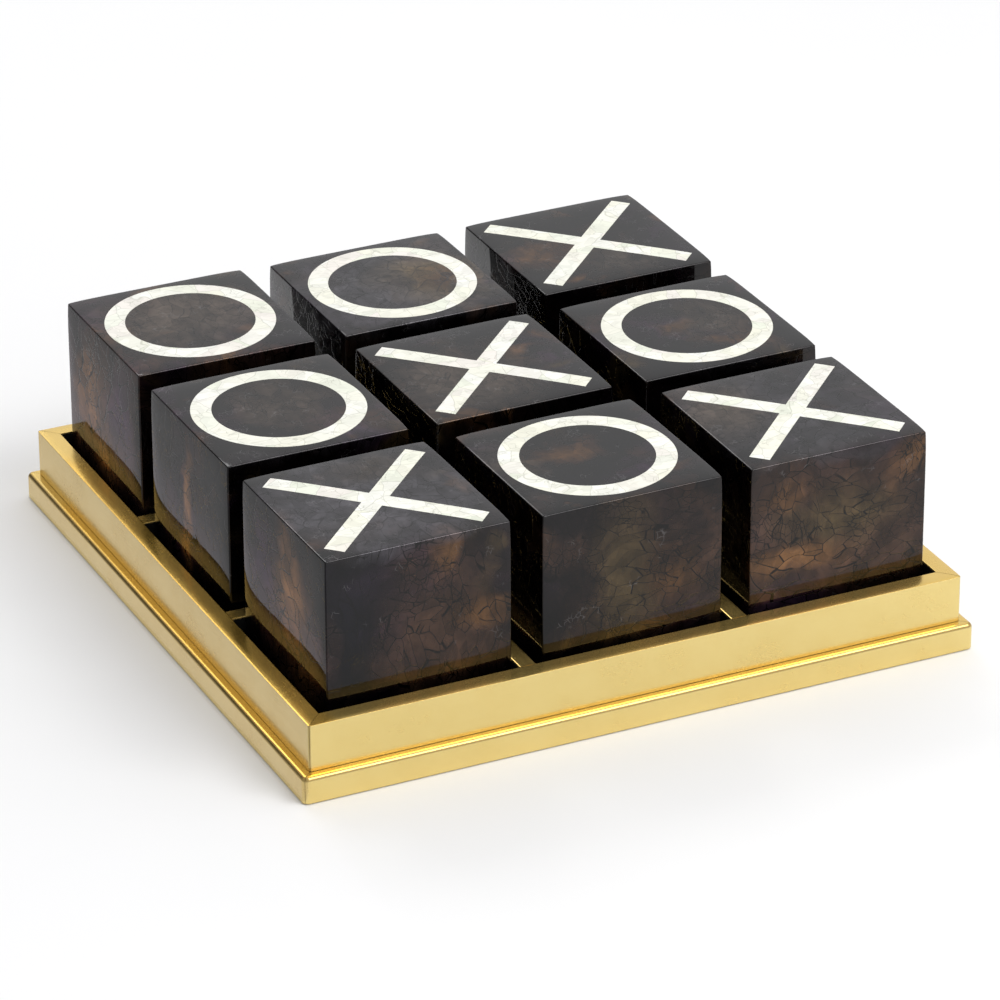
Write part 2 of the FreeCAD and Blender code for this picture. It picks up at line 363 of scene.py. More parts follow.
def make_cream_shell():
    """Cream-white shell in fitted pieces, with hairline cracks, under the same lacquer."""
    material, tree = new_material("cream_shell")
    place = millimetres(tree)
    bent = warped(tree, place, 18, 4)
    joint, piece = cracks(tree, bent, 11.0, 0.20)
    hair, _ = cracks(tree, warped(tree, place, 6, 2.5), 4.5, 0.16)
    shown = ramp(tree, cloud(tree, place, 9, 1.0).outputs["Fac"], 0.48, 0.60)

    colour = mixed(
        tree, channel(tree, piece, "Red"), (0.90, 0.90, 0.83), (0.86, 0.85, 0.70)
    )
    colour = mixed(
        tree, ramp(tree, channel(tree, piece, "Green"), 0.72, 1.0), colour, (0.78, 0.81, 0.67)
    )
    colour = mixed(
        tree, ramp(tree, channel(tree, piece, "Blue"), 0.75, 1.0), colour, (0.86, 0.81, 0.74)
    )
    grain = cloud(tree, squeezed(tree, bent, (0.25, 1.6, 1)), 2.0, 4.0, 0.6)
    colour = mixed(
        tree, ramp(tree, grain.outputs["Fac"], 0.50, 0.80), colour, (0.68, 0.69, 0.57)
    )
    _, facet = cracks(tree, warped(tree, place, 12, 3), 4.5, 0.2)
    shade = ramp(tree, channel(tree, facet, "Blue"), 0.0, 1.0, 0.90, 1.04)
    colour = node(tree, "VectorMath", {0: colour, "Scale": shade}, operation="SCALE").outputs[0]
    lines = math_node(
        tree, "MAXIMUM", times(tree, joint, 0.42), times(tree, times(tree, hair, shown), 0.42)
    )
    colour = mixed(tree, lines, colour, (0.30, 0.30, 0.22))
    lacquer = bump(tree, cloud(tree, place, 16, 1.0).outputs["Fac"], 0.03 * MM)
    finish_material(
        tree, colour, ramp(tree, grain.outputs["Fac"], 0.3, 0.7, 0.30, 0.45),
        Specular_IOR_Level=0.4, Coat_Weight=1.0, Coat_IOR=1.42, Coat_Roughness=0.02,
        Coat_Normal=lacquer,
    )
    return material


def make_brass(name, stretch):
    """Lacquered brass sheet: fine streaks along it, an orange tint on its up-facing faces that is a
    painted warm reflection, and painted shade along its folds.
    """
    material, tree = new_material(name)
    place = millimetres(tree)
    streaks = cloud(tree, millimetres(tree, stretch), 0.5, 3.0, 0.7).outputs["Fac"]
    mottle = cloud(tree, place, 2.5, 3.0, 0.6).outputs["Fac"]
    tarnish = cloud(tree, place, 30, 4.0, 0.6).outputs["Fac"]
    colour = mixed(tree, ramp(tree, tarnish, 0.35, 0.7), (0.83, 0.66, 0.27), (0.80, 0.62, 0.24))
    marks = math_node(
        tree, "ADD", ramp(tree, streaks, 0.3, 0.7, 0.0, 0.08), ramp(tree, mottle, 0.35, 0.7, 0, 0.08)
    )
    colour = mixed(tree, marks, colour, (0.72, 0.53, 0.20))
    # Up-facing faces are painted a warmer orange, at half strength everywhere and full on the tray's
    # left side, fading out towards its back end: a painted warm reflection.
    level = normal_part(tree, "Z")
    upward = ramp(tree, level, 0.5, 1.0)
    corner = node(tree, "SeparateXYZ", {"Vector": place}).outputs
    painted_warm_reflection = times(tree, ramp(tree, corner["X"], -132, -142), ramp(tree, corner["Y"], 130, 100))
    painted_warm_reflection = ramp(tree, painted_warm_reflection, 0.0, 1.0, 0.5, 1.0)
    colour = mixed(tree, times(tree, upward, painted_warm_reflection), colour, (0.86, 0.54, 0.11))

    # The brass is painted darker along its folds, where its tops turn down into its sides: painted
    # shade.
    painted_fold_shade = times(tree, ramp(tree, level, 0.10, 0.40), ramp(tree, level, 0.85, 0.97, 1.0, 0.0))
    colour = mixed(tree, times(tree, painted_fold_shade, 0.6), colour, (0.30, 0.18, 0.05))
    rough = math_node(
        tree, "ADD",
        ramp(tree, math_node(tree, "ADD", streaks, mottle), 0.7, 1.3, 0.19, 0.25),
        ramp(tree, tarnish, 0.4, 0.7, 0.0, 0.05),
    )
    uneven = math_node(
        tree, "ADD", times(tree, math_node(tree, "ADD", streaks, mottle), 0.007),
        cloud(tree, place, 22, 1.0).outputs["Fac"],
    )
    finish_material(tree, colour, rough, bump(tree, uneven, 0.05 * MM), Metallic=0.88)
    return material


def make_black_board():
    """Board painted black: a faint roller texture."""
    material, tree = new_material("black_board")
    place = millimetres(tree)
    grain = cloud(tree, place, 0.7, 3.0).outputs["Fac"]
    colour = mixed(tree, cloud(tree, place, 12, 3.0).outputs["Fac"], (0.004,) * 3, (0.009,) * 3)
    finish_material(
        tree, colour, ramp(tree, grain, 0.3, 0.7, 0.5, 0.7), bump(tree, grain, 0.05 * MM),
        Specular_IOR_Level=0.3,
    )
    return material


def make_raw_board():
    """Fibreboard, brown and speckled."""
    material, tree = new_material("raw_board")
    place = millimetres(tree)
    fibres = cloud(tree, place, 0.6, 5.0, 0.7).outputs["Fac"]
    colour = mixed(tree, ramp(tree, fibres, 0.3, 0.7), (0.20, 0.125, 0.07), (0.36, 0.24, 0.14))
    colour = mixed(
        tree, ramp(tree, cloud(tree, place, 20).outputs["Fac"], 0.4, 0.7, 0, 0.4), colour,
        (0.24, 0.15, 0.085),
    )
    finish_material(tree, colour, 0.85, bump(tree, fibres, 0.1 * MM))
    return material


def make_core_wood():
    """Plain softwood, its rings cut lengthwise."""
    material, tree = new_material("core_wood")
    place = warped(tree, millimetres(tree, (1, 0.12, 1)), 25, 3)
    rings = node(
        tree, "TexWave", {"Vector": place, "Scale": 0.12, "Distortion": 2.0, "Detail": 2.0}
    ).outputs["Fac"]
    fibres = cloud(tree, millimetres(tree, (1, 0.05, 1)), 0.8, 3.0).outputs["Fac"]
    colour = mixed(tree, rings, (0.48, 0.31, 0.17), (0.30, 0.17, 0.08))
    colour = mixed(tree, ramp(tree, fibres, 0.4, 0.8, 0, 0.4), colour, (0.22, 0.12, 0.06))
    finish_material(tree, colour, 0.7, bump(tree, fibres, 0.05 * MM))
    return material


def make_felt():
    """Black felt: a matted pile that is a little lighter where it catches light."""
    material, tree = new_material("felt")
    place = millimetres(tree)
    pile = cloud(tree, place, 0.45, 4.0, 0.75, 0.6).outputs["Fac"]
    lumps = cloud(tree, place, 3.5, 3.0).outputs["Fac"]
    colour = mixed(tree, ramp(tree, pile, 0.35, 0.75), (0.006, 0.006, 0.007), (0.028, 0.028, 0.030))
    colour = mixed(tree, ramp(tree, lumps, 0.5, 0.8, 0, 0.5), colour, (0.012, 0.012, 0.013))
    height = math_node(tree, "ADD", pile, times(tree, lumps, 0.6))
    finish_material(
        tree, colour, 0.95, bump(tree, height, 0.35 * MM),
        Specular_IOR_Level=0.1, Sheen_Weight=0.25, Sheen_Roughness=0.5,
    )
    return material


def make_screw_steel():
    """Plated steel, faintly mottled."""
    material, tree = new_material("screw_steel")
    mottle = cloud(tree, millimetres(tree), 1.5, 4.0).outputs["Fac"]
    colour = mixed(tree, mottle, (0.62, 0.60, 0.55), (0.45, 0.44, 0.42))
    finish_material(
        tree, colour, ramp(tree, mottle, 0.3, 0.7, 0.25, 0.45), bump(tree, mottle, 0.02 * MM),
        Metallic=1.0,
    )
    return material


def make_floor_material():
    material, tree = new_material("pale_floor")
    shade = cloud(tree, millimetres(tree), 180, 2.0).outputs["Fac"]
    colour = mixed(tree, shade, (0.88, 0.88, 0.88), (0.90, 0.90, 0.90))
    finish_material(tree, colour, 0.6, Specular_IOR_Level=0.2)
    return material


MATERIALS = {
    "dark_shell": make_dark_shell(),
    "cream_shell": make_cream_shell(),
    "brass_across": make_brass("brass_across", (0.01, 1, 1)),
    "brass_along": make_brass("brass_along", (1, 0.01, 1)),
    "black_board": make_black_board(),
    "raw_board": make_raw_board(),
    "core_wood": make_core_wood(),
    "felt": make_felt(),
    "screw_steel": make_screw_steel(),
}


# ---------------------------------------------------------------- mesh helpers

def add_piece(name, mesh, material, body, slot, *replaced):
    """Put a mesh in the scene as a piece that rides on a body and stands for CAD nodes."""
    piece = bpy.data.objects.new(name, mesh)
    bpy.context.scene.collection.objects.link(piece)
    mesh.materials.clear()
    mesh.materials.append(MATERIALS[material])
    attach(piece, body)
    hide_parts(*replaced)
    return piece


def smooth_by_angle(mesh):
    mesh.polygons.foreach_set("use_smooth", [True] * len(mesh.polygons))
    mesh.set_sharp_from_angle(angle=SHARP_ANGLE)


def add_weighted_normals(piece):
    """Keep broad faces flat and let their rounded edges take the turn."""
    modifier = piece.modifiers.new("weighted_normals", "WEIGHTED_NORMAL")
    modifier.mode = "FACE_AREA"
    modifier.keep_sharp = True


def mesh_from(name, vertices, faces, weld=1e-7):
    """A clean closed mesh, with coincident points joined and normals outward."""
    mesh = bpy.data.meshes.new(name)
    mesh.from_pydata([tuple(v) for v in vertices], [], faces)
    made = bmesh.new()
    made.from_mesh(mesh)
    bmesh.ops.remove_doubles(made, verts=made.verts, dist=weld)
    bmesh.ops.dissolve_degenerate(made, edges=made.edges, dist=weld)
    bmesh.ops.recalc_face_normals(made, faces=made.faces)
    made.to_mesh(mesh)
    made.free()
    return mesh


def arc(centre, radii, start, end, steps):
    """Points on a quarter or so of an ellipse, in degrees."""
    turns = np.radians(np.linspace(start, end, steps + 1))
    return [
        (centre[0] + radii[0] * math.cos(t), centre[1] + radii[1] * math.sin(t)) for t in turns
    ]


# ---------------------------------------------------------------- brass strips

STRIP_STATIONS = 40
STRIP_CORNER_STEPS = 5
STRIP_WAVE = 0.03 * MM                  # sheet metal leans in by up to this
STRIP_WAVE_PITCH = Vector((22, 30, 40))  # waves to the metre, roughly


def side_strip(name, profile, outer, corner, gap):
    """The front strip of a mitred square ring.

    The profile's points are (distance out from the tray's middle, height). The strip's ends
    turn round the ring's corner, whose outside has the given radius, and stop at the mitre,
    short of it by gap. Sheet metal is never quite flat, so it is a little wavy.
    """
    turns = np.radians(np.linspace(0, 45, STRIP_CORNER_STEPS + 1))
    rows = [(-1, turn) for turn in turns[::-1]]
    rows += [("straight", share) for share in np.linspace(-1, 1, STRIP_STATIONS)[1:-1]]
    rows += [(1, turn) for turn in turns]
    vertices = []
    for kind, value in rows:
        for out, height in profile:
            radius = max(corner - (outer - out), 0)
            straight = out - radius - gap
            if kind == "straight":
                along = value * straight
                away = out
            else:
                along = kind * (straight + radius * math.sin(value))
                away = out - radius + radius * math.cos(value)
            if kind == "straight":
                lean = noise.noise(Vector((along, height, outer)) * STRIP_WAVE_PITCH)
                away -= STRIP_WAVE * (0.5 + 0.5 * lean) * (1 - value ** 4)
            vertices.append((along, -away, height))
    width = len(profile)
    faces = []
    for row in range(len(rows) - 1):
        for k in range(width):
            a = row * width + k
            b = row * width + (k + 1) % width
            faces.append((a, b, b + width, a + width))
    last = (len(rows) - 1) * width
    faces.append(tuple(range(width))[::-1])
    faces.append(tuple(range(last, last + width)))
    return mesh_from(name, vertices, faces)


def add_four_sides(name, slot, profile, outer, corner, gap):
    """Turn one strip to all four sides, each in place of its CAD node."""
    for quarter, side in enumerate(SIDES):
        node_name = name + "_" + side
        mesh = side_strip(node_name + "_brass", profile, outer, corner, gap)
        mesh.transform(Matrix.Rotation(math.radians(90 * quarter), 4, "Z"))
        smooth_by_angle(mesh)
        material = "brass_across" if side in ("front", "back") else "brass_along"
        piece = add_piece(node_name + "_brass", mesh, material, "tray", slot, node_name)
        add_weighted_normals(piece)


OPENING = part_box("rail_right")[0].x       # half the inside width
RAIL_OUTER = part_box("rail_right")[1].x
RIM_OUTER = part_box("rim_right")[1].x
RIM_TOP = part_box("rim_front")[1].z
RIM_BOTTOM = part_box("rim_front")[0].z
RAIL_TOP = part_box("rail_front")[1].z
PLINTH_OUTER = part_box("plinth_right")[1].x
PLINTH_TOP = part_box("plinth_front")[1].z
PLINTH_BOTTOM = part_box("plinth_front")[0].z
BOARD_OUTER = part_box("base_board")[1].x
BOARD_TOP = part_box("base_board")[1].z
MITRE_GAP = 0.14 * MM
RIM_CORNER = 1.0 * MM
RIM_EASE = 0.25 * MM                    # radius of the rim's inner upper edge
RIM_DRESSED = (4.0 * MM, 0.4 * MM)      # its outer upper edge is dressed over this far
PLINTH_CORNER = 2.5 * MM
PLINTH_ROUND = 2.2 * MM
PLINTH_HEM = 0.3 * MM
CAP_ROUND = (0.9 * MM, 0.45 * MM)


def add_rim():
    """Sheet over the rails: a flat top, dressed over softly at its outer edge."""
    profile = [(OPENING, RAIL_TOP)]
    profile += arc((OPENING + RIM_EASE, RIM_TOP - RIM_EASE), (RIM_EASE, RIM_EASE), 180, 90, 4)
    reach, fall = RIM_DRESSED
    profile += arc((RIM_OUTER - reach, RIM_TOP - fall), RIM_DRESSED, 90, 0, 16)
    profile += [(RIM_OUTER, RIM_BOTTOM), (RAIL_OUTER, RIM_BOTTOM), (RAIL_OUTER, RAIL_TOP)]
    add_four_sides("rim", "rim_brass", profile, RIM_OUTER, RIM_CORNER, MITRE_GAP)


def add_plinth():
    """A moulding with a rounded upper edge and a flange under the rim."""
    centre = (PLINTH_OUTER - PLINTH_ROUND, PLINTH_TOP - PLINTH_ROUND)
    foot = (PLINTH_OUTER - PLINTH_HEM, PLINTH_BOTTOM + PLINTH_HEM)
    inner = PLINTH_ROUND - (PLINTH_OUTER - BOARD_OUTER)
    profile = [(OPENING, PLINTH_TOP)]
    profile += arc(centre, (PLINTH_ROUND, PLINTH_ROUND), 90, 0, 14)
    profile += arc(foot, (PLINTH_HEM, PLINTH_HEM), 0, -90, 3)
    profile += [(BOARD_OUTER, PLINTH_BOTTOM)]
    profile += arc(centre, (inner, inner), 0, 90, 6)
    profile += [(OPENING, BOARD_TOP)]
    add_four_sides("plinth", "plinth_brass", profile, PLINTH_OUTER, PLINTH_CORNER, MITRE_GAP)


def bar_mesh(name, low, high, rounded):
    """A flat strip from low to high corner, its two long upper edges rounded."""
    across = 0 if (high - low).x < (high - low).y else 1
    half = (high[across] - low[across]) / 2
    middle = (high[across] + low[across]) / 2
    profile = arc((half - rounded[0], high.z - rounded[1]), rounded, 0, 90, 8)
    profile += [(-x, z) for x, z in reversed(profile)]
    profile += [(-half, low.z), (half, low.z)]
    vertices = []
    for end in (low[1 - across], high[1 - across]):
        for x, z in profile:
            vertices.append((middle + x, end, z) if across == 0 else (end, middle + x, z))
    width = len(profile)
    faces = [tuple(range(width)), tuple(range(width, 2 * width))[::-1]]
    faces += [(k, (k + 1) % width, (k + 1) % width + width, k + width) for k in range(width)]
    return mesh_from(name, vertices, faces)


def islands(name):
    """The box of each separate solid in a CAD node, as (lowest, highest) corners."""
    made = bmesh.new()
    made.from_mesh(frame["nodes"][name].data)
    bmesh.ops.remove_doubles(made, verts=made.verts, dist=1e-6)
    left = set(made.verts)
    boxes = []
    while left:
        reached = [left.pop()]
        points = []
        while reached:
            vertex = reached.pop()
            points.append(vertex.co.copy())
            for edge in vertex.link_edges:
                other = edge.other_vert(vertex)
                if other in left:
                    left.remove(other)
                    reached.append(other)
        low = Vector(min(p[k] for p in points) for k in range(3))
        high = Vector(max(p[k] for p in points) for k in range(3))
        boxes.append((low, high))
    made.free()
    return sorted(boxes, key=lambda box: (round(box[0].y, 4), round(box[0].x, 4)))


def add_caps():
    """Brass strips on the dividers, a separate piece for each length."""
    for side in ("left", "right", "front", "rear"):
        node_name = "cap_" + side
        material = "brass_along" if side in ("left", "right") else "brass_across"
        for count, (low, high) in enumerate(islands(node_name)):
            name = "%s_brass_%d" % (node_name, count + 1)
            mesh = bar_mesh(name, low, high, CAP_ROUND)
            smooth_by_angle(mesh)
            piece = add_piece(name, mesh, material, "tray", "cap_brass", node_name)
            add_weighted_normals(piece)


# ---------------------------------------------------------------- blocks

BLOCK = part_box("veneer_" + BLOCKS[0])[1].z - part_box("veneer_" + BLOCKS[0])[0].z
HALF = BLOCK / 2
EDGE = 0.55 * MM         # radius of the block's edges
FALL = 0.45 * MM         # how far each face falls away towards its edges
FALL_REACH = 5.0 * MM    # how near an edge it does so
MARK_DEPTH = 1.0 * MM
MARK_GAP = 0.07 * MM
ON_SKIN = 0.02 * MM      # a point this near the lacquer's surface is on it
FACE_STEPS = 16          # mesh steps from the middle of a face to its edge
FACE_CROWDING = 2.2      # how much they crowd towards the edge


def skin(points):
    """Signed distance, nearly, from a block's lacquered surface, centred on the block."""
    near = np.exp((np.abs(points) - HALF) / FALL_REACH)
    others = near.sum(axis=1, keepdims=True) - near
    swollen = points * (1 + FALL / HALF * others)
    beyond = np.abs(swollen) - (HALF - EDGE)
    outside = np.linalg.norm(np.maximum(beyond, 0), axis=1)
    return outside + np.minimum(beyond.max(axis=1), 0) - EDGE


def skin_normals(points):
    """Unit normals of the lacquered surface at points on it."""
    step = ON_SKIN
    slopes = np.zeros_like(points)
    for axis in range(3):
        shift = np.zeros(3)
        shift[axis] = step
        slopes[:, axis] = skin(points + shift) - skin(points - shift)
    return slopes / np.maximum(np.linalg.norm(slopes, axis=1, keepdims=True), 1e-12)


def onto_skin(points):
    for _ in range(6):
        points = points - skin(points)[:, None] * skin_normals(points)
    return points


def top_onto_skin(points):
    """Move points straight up or down onto the top of the skin."""
    points = points.copy()
    for _ in range(8):
        points[:, 2] -= skin(points) / np.maximum(skin_normals(points)[:, 2], 0.3)
    return points


def block_mesh(name):
    """A cube with rounded edges and softly crowned faces, its centre at the origin."""
    rise = HALF * (1 - (np.arange(FACE_STEPS + 1) / FACE_STEPS) ** FACE_CROWDING)
    marks = np.concatenate([-rise, rise[::-1][1:]])
    size = len(marks)
    across, up = np.meshgrid(marks, marks, indexing="ij")
    flat = np.stack([across.ravel(), up.ravel(), np.full(size * size, HALF)], axis=1)
    vertices = []
    faces = []
    turns = [Matrix.Rotation(math.radians(90 * k), 3, "X") for k in range(4)]
    turns += [Matrix.Rotation(math.radians(90 * k), 3, "Y") for k in (1, 3)]
    for turn in turns:
        start = len(vertices)
        vertices.extend(flat @ np.array(turn).T)
        for i in range(size - 1):
            for j in range(size - 1):
                a = start + i * size + j
                faces.append((a, a + size, a + size + 1, a + 1))
    points = np.array(vertices)
    inner = np.clip(points, -(HALF - EDGE), HALF - EDGE)
    away = points - inner
    points = inner + EDGE * away / np.linalg.norm(away, axis=1, keepdims=True)
    return mesh_from(name, onto_skin(points), faces, 2e-6)


ARM_STEPS = 22           # mesh steps along a cross's arm
BAND_STEPS = 4           # and across it
RING_STEPS = 144         # mesh steps round a nought
RING_BAND_STEPS = 5      # and across it


def cross_patches(band, length):
    """Grids of points that tile a cross: its middle and four arms, as lists of corners."""
    half = band / 2
    cells = [(-half, half, -half, half)]
    steps = np.linspace(half, length / 2, ARM_STEPS + 1)
    for near, far in zip(steps[:-1], steps[1:]):
        cells += [(near, far, -half, half), (-far, -near, -half, half)]
        cells += [(-half, half, near, far), (-half, half, -far, -near)]
    quads = []
    for x0, x1, y0, y1 in cells:
        xs = np.linspace(x0, x1, 2 if abs(x1 - x0) < band - 1e-6 else BAND_STEPS + 1)
        ys = np.linspace(y0, y1, 2 if abs(y1 - y0) < band - 1e-6 else BAND_STEPS + 1)
        for a, b in zip(xs[:-1], xs[1:]):
            for c, d in zip(ys[:-1], ys[1:]):
                quads.append([(a, c), (b, c), (b, d), (a, d)])
    turn = math.radians(45)
    return [
        [(x * math.cos(turn) - y * math.sin(turn), x * math.sin(turn) + y * math.cos(turn))
         for x, y in quad]
        for quad in quads
    ]


def nought_patches(inner, outer):
    """Quads that tile a flat ring."""
    rings = np.linspace(inner, outer, RING_BAND_STEPS + 1)
    turns = np.linspace(0, 2 * math.pi, RING_STEPS + 1)
    quads = []
    for t0, t1 in zip(turns[:-1], turns[1:]):
        for r0, r1 in zip(rings[:-1], rings[1:]):
            quads.append([
                (r0 * math.cos(t0), r0 * math.sin(t0)), (r1 * math.cos(t0), r1 * math.sin(t0)),
                (r1 * math.cos(t1), r1 * math.sin(t1)), (r0 * math.cos(t1), r0 * math.sin(t1)),
            ])
    return quads


def plate_mesh(name, quads, bottom, top):
    """A flat plate from bottom to top, over quads in plan."""
    vertices = []
    faces = []
    for quad in quads:
        start = len(vertices)
        vertices += [(x, y, top) for x, y in quad]
        faces.append((start, start + 1, start + 2, start + 3))
    mesh = mesh_from(name, vertices, faces, 1e-6)
    made = bmesh.new()
    made.from_mesh(mesh)
    for face in made.faces:
        if face.normal.z < 0:
            face.normal_flip()
    grown = bmesh.ops.extrude_face_region(made, geom=list(made.faces), use_keep_orig=True)
    for item in grown["geom"]:
        if isinstance(item, bmesh.types.BMVert):
            item.co.z = bottom
    bmesh.ops.recalc_face_normals(made, faces=made.faces)
    made.to_mesh(mesh)
    made.free()
    return mesh


def cut(mesh, cutter):
    """The first mesh less the second."""
    scene = bpy.context.scene
    body = bpy.data.objects.new("cut_body", mesh)
    tool = bpy.data.objects.new("cut_tool", cutter)
    scene.collection.objects.link(body)
    scene.collection.objects.link(tool)
    modifier = body.modifiers.new("cut", "BOOLEAN")
    modifier.operation = "DIFFERENCE"
    modifier.solver = "EXACT"
    modifier.object = tool
    bpy.context.view_layer.update()
    evaluated = body.evaluated_get(bpy.context.evaluated_depsgraph_get())
    result = bpy.data.meshes.new_from_object(evaluated)
    bpy.data.objects.remove(body)
    bpy.data.objects.remove(tool)
    return result


def place_on_tray(mesh, where):
    """Give a block's mesh its lacquer's normals, then stand it in the tray."""
    count = len(mesh.vertices)
    points = np.zeros(count * 3)
    mesh.vertices.foreach_get("co", points)
    points = points.reshape(-1, 3)
    turn = np.array(where.to_3x3())
    smooth = skin_normals(points)
    on_skin = np.abs(skin(points)) < ON_SKIN
    normals = np.zeros((len(mesh.loops), 3))
    for face in mesh.polygons:
        own = np.array(face.normal)
        loops = list(face.loop_indices)
        corners = [mesh.loops[k].vertex_index for k in loops]
        lacquered = all(on_skin[corners]) and float(smooth[corners].mean(axis=0) @ own) > 0.6
        for loop, corner in zip(loops, corners):
            normals[loop] = turn @ (smooth[corner] if lacquered else own)
    mesh.transform(where)
    mesh.polygons.foreach_set("use_smooth", [True] * len(mesh.polygons))
    mesh.normals_split_custom_set([tuple(n) for n in normals])


def block_place(block):
    """Where a block stands: its centre and its turn, read from its core's corners."""
    low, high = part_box("core_" + block)
    corners = [vertex.co for vertex in frame["nodes"]["core_" + block].data.vertices]
    left = min(corners, key=lambda p: p.x + p.y)
    right = min(corners, key=lambda p: p.y - p.x)
    turn = math.atan2(right.y - left.y, right.x - left.x)
    return Matrix.Translation((low + high) / 2) @ Matrix.Rotation(turn, 4, "Z")


def mark_patches(mark, grow):
    """The plan of a mark, grown by a little all round for its pocket."""
    if mark == "cross":
        return cross_patches(CROSS_BAND + 2 * grow, CROSS_LENGTH + 2 * grow)
    return nought_patches(NOUGHT_INNER - grow, NOUGHT_OUTER + grow)


def measure_cross():
    """The band's width and each stroke's length, from a cross that is hardly turned."""
    name = next(n for n in NODE_NAMES if n.startswith("cross_"))
    block = name[len("cross_"):]
    back = block_place(block).inverted()
    points = [back @ vertex.co for vertex in frame["nodes"][name].data.vertices]
    turned = [Matrix.Rotation(math.radians(-45), 3, "Z") @ p for p in points]
    length = 2 * max(p.x for p in turned)
    band = 2 * max(p.y for p in turned if p.x > 0.49 * length)
    return band, length


def measure_nought():
    """The ring's inner and outer radius."""
    name = next(n for n in NODE_NAMES if n.startswith("nought_"))
    low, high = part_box(name)
    middle = (low + high) / 2
    reach = [(vertex.co - middle).to_2d().length for vertex in frame["nodes"][name].data.vertices]
    return min(reach), max(reach)


CROSS_BAND, CROSS_LENGTH = measure_cross()
NOUGHT_INNER, NOUGHT_OUTER = measure_nought()


def add_blocks():
    for block in BLOCKS:
        mark = "cross" if "cross_" + block in frame["nodes"] else "nought"
        where = block_place(block)
        pocket = plate_mesh(
            "pocket", mark_patches(mark, MARK_GAP), HALF - MARK_DEPTH - MARK_GAP, HALF + 2 * MM
        )
        veneer = cut(block_mesh("block"), pocket)
        veneer.name = "veneer_" + block + "_lacquered"
        place_on_tray(veneer, where)
        add_piece(
            veneer.name, veneer, "dark_shell", "block_" + block, "dark_shell", "veneer_" + block
        )

        inlay = plate_mesh(
            mark + "_" + block + "_inlay", mark_patches(mark, 0), HALF - MARK_DEPTH, HALF
        )
        points = np.array([vertex.co for vertex in inlay.vertices])
        upper = points[:, 2] > HALF - MARK_DEPTH / 2
        points[upper] = top_onto_skin(points[upper])
        inlay.vertices.foreach_set("co", points.ravel())
        inlay.update()
        place_on_tray(inlay, where)
        add_piece(
            inlay.name, inlay, "cream_shell", "block_" + block, "cream_shell",
            mark + "_" + block,
        )


# ---------------------------------------------------------------- felts

FELT_CELLS = 24
FELT_DIP = 0.08 * MM            # the pile is uneven by up to this
FELT_LUMPS = 90                 # lumps to the metre, roughly
BASE_FELT_CORNER = 3 * MM
CELL_FELT_CORNER = 1 * MM


def felt_mesh(name, low, high, corner):
    """A felt sheet with soft edges and a slightly uneven face."""
    thick = high.z - low.z
    cells = FELT_CELLS
    xs = np.linspace(low.x, high.x, cells + 1)
    ys = np.linspace(low.y, high.y, cells + 1)
    middle = (low + high) / 2
    half = (high - low) / 2
    vertices = []
    faces = []
    for level in (0, 1):
        for x in xs:
            for y in ys:
                dx = max(abs(x - middle.x) - (half.x - corner), 0)
                dy = max(abs(y - middle.y) - (half.y - corner), 0)
                reach = math.hypot(dx, dy)
                if reach > corner:
                    x_in = middle.x + math.copysign(half.x - corner + dx * corner / reach, x - middle.x)
                    y_in = middle.y + math.copysign(half.y - corner + dy * corner / reach, y - middle.y)
                else:
                    x_in, y_in = x, y
                lump = noise.noise(Vector((x * FELT_LUMPS, y * FELT_LUMPS, level)))
                dip = FELT_DIP * (0.5 + 0.5 * lump)
                z = high.z - dip if level else low.z
                vertices.append((x_in, y_in, z))
    row = cells + 1
    layer = row * row
    for i in range(cells):
        for j in range(cells):
            a = i * row + j
            faces.append((a, a + 1, a + row + 1, a + row))
            b = a + layer
            faces.append((b, b + row, b + row + 1, b + 1))
    rim = [i * row for i in range(row)] + [cells * row + j for j in range(1, row)]
    rim += [i * row + cells for i in range(cells - 1, -1, -1)] + [j for j in range(cells - 1, 0, -1)]
    for a, b in zip(rim, rim[1:] + rim[:1]):
        faces.append((a, b, b + layer, a + layer))
    mesh = mesh_from(name, vertices, faces, min(1e-5, thick / 50))
    smooth_by_angle(mesh)
    return mesh


def add_felt(name, low, high, corner, replaced):
    mesh = felt_mesh(name, low, high, corner)
    piece = add_piece(name, mesh, "felt", "tray", "felt", replaced)


def add_felts():
    low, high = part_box("base_felt")
    add_felt("base_felt_sheet", low, high, BASE_FELT_CORNER, "base_felt")
    for count, (low, high) in enumerate(islands("cell_felts")):
        name = "cell_felt_%d" % (count + 1)
        add_felt(name, low, high, CELL_FELT_CORNER, "cell_felts")


# ---------------------------------------------------------------- the rest

def dress_cad_nodes():
    """Materials for the CAD nodes that stay: boards, rails, dividers, cores and screws."""
    for name, slot_name in (
        (row["node"], row["material_slot"]) for row in frame["record"]["subparts"]
    ):
        if slot_name in ("black_board", "raw_board", "core_wood", "screw_steel"):
            obj = frame["nodes"][name]
            obj.data.materials.clear()
            obj.data.materials.append(MATERIALS[slot_name])


FLOOR_HALF = 4.0
SOFTBOX_DISTANCE = 1.8
CARD_LIFT = 0.3 * MM
DARK_SPOT_EDGES = (16, 10)      # degrees from the spot's middle to where it starts and is full


def add_floor():
    half = FLOOR_HALF
    mesh = bpy.data.meshes.new("floor")
    mesh.from_pydata(
        [(-half, -half, 0), (half, -half, 0), (half, half, 0), (-half, half, 0)],
        [], [(0, 1, 2, 3)],
    )
    floor = bpy.data.objects.new("floor", mesh)
    bpy.context.scene.collection.objects.link(floor)
    mesh.materials.append(make_floor_material())


def add_softbox(name, direction, size, radiance, target):
    """An area light aimed at target, of a given size and brightness as seen in a mirror."""
    light = bpy.data.lights.new(name, "AREA")
    light.shape = "RECTANGLE"
    light.size, light.size_y = size
    light.energy = radiance * math.pi * size[0] * size[1]
    box = bpy.data.objects.new(name, light)
    away = Vector(direction).normalized()
    box.location = Vector(target) + away * SOFTBOX_DISTANCE
    box.rotation_euler = away.to_track_quat("Z", "Y").to_euler()
    bpy.context.scene.collection.objects.link(box)


